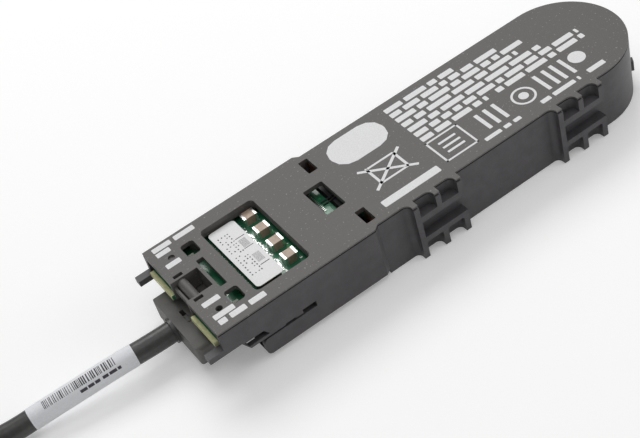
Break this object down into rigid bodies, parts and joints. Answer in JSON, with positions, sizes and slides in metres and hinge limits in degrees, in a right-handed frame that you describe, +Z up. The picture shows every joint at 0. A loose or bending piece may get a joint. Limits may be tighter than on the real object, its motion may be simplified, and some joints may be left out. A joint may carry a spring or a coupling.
{
  "type": "raid battery module",
  "caption": "Slim dark plastic battery module with a windowed cover, side ladder clips and a plugged-in round cable wound into a coil.",
  "frame": {"origin": "on the underside, on the body's centre plane, halfway between the two ladder clips", "axes": "+X along the body towards the round tail, +Z up out of the cover, the ladder clips on the -Y side"},
  "size_m": [0.3034, 0.0737, 0.0193],
  "materials": {
    "housing_plastic": "matte",
    "cover_plastic": "fine grain",
    "board_laminate": "gloss solder mask",
    "ferrite": "matte",
    "copper": "bare copper",
    "chip_epoxy": "matte",
    "label_paper": "matte",
    "capacitor_ceramic": "satin",
    "tinned_metal": "satin",
    "lamp_plastic": "gloss",
    "plug_plastic": "matte",
    "gilt_pins": "bright",
    "cell_steel": "nickel plated",
    "sleeve_film": "gloss film",
    "nickel": "satin",
    "fuse_body": "gloss",
    "foam": "open foam",
    "cable_jacket": "satin",
    "tie_plastic": "matte"
  },
  "bodies": {
    "root": {"housing": "housing_plastic", "top_cover": "cover_plastic", "circuit_board": "board_laminate", "power_inductors": "ferrite", "inductor_windings": "copper", "charger_chip": "chip_epoxy", "part_label": "label_paper", "ceramic_capacitors": "capacitor_ceramic", "capacitor_ends": "tinned_metal", "monitor_chip": "chip_epoxy", "chip_leads": "tinned_metal", "status_lamps": "lamp_plastic", "board_socket": "plug_plastic", "socket_pins": "gilt_pins", "plug_shell": "plug_plastic", "plug_contacts": "gilt_pins", "contact_plate_positive": "copper", "contact_plate_negative": "copper", "cell_1": "cell_steel", "cell_2": "cell_steel", "cell_3": "cell_steel", "cell_4": "cell_steel", "cell_sleeves": "sleeve_film", "cell_washers": "label_paper", "cell_links": "nickel", "end_strap": "nickel", "fuse_strap": "nickel", "return_strap": "nickel", "resettable_fuse": "fuse_body", "thermistor": "chip_epoxy", "foam_pad": "foam", "tail_foam": "foam", "conductor_bundle": "copper", "cable_collar": "cable_jacket", "cable_lead": "cable_jacket", "cable_coil": "cable_jacket", "cable_tail": "cable_jacket", "coil_ties": "tie_plastic", "end_plug_body": "plug_plastic", "end_plug_contacts": "gilt_pins"}
  },
  "joints": []
}
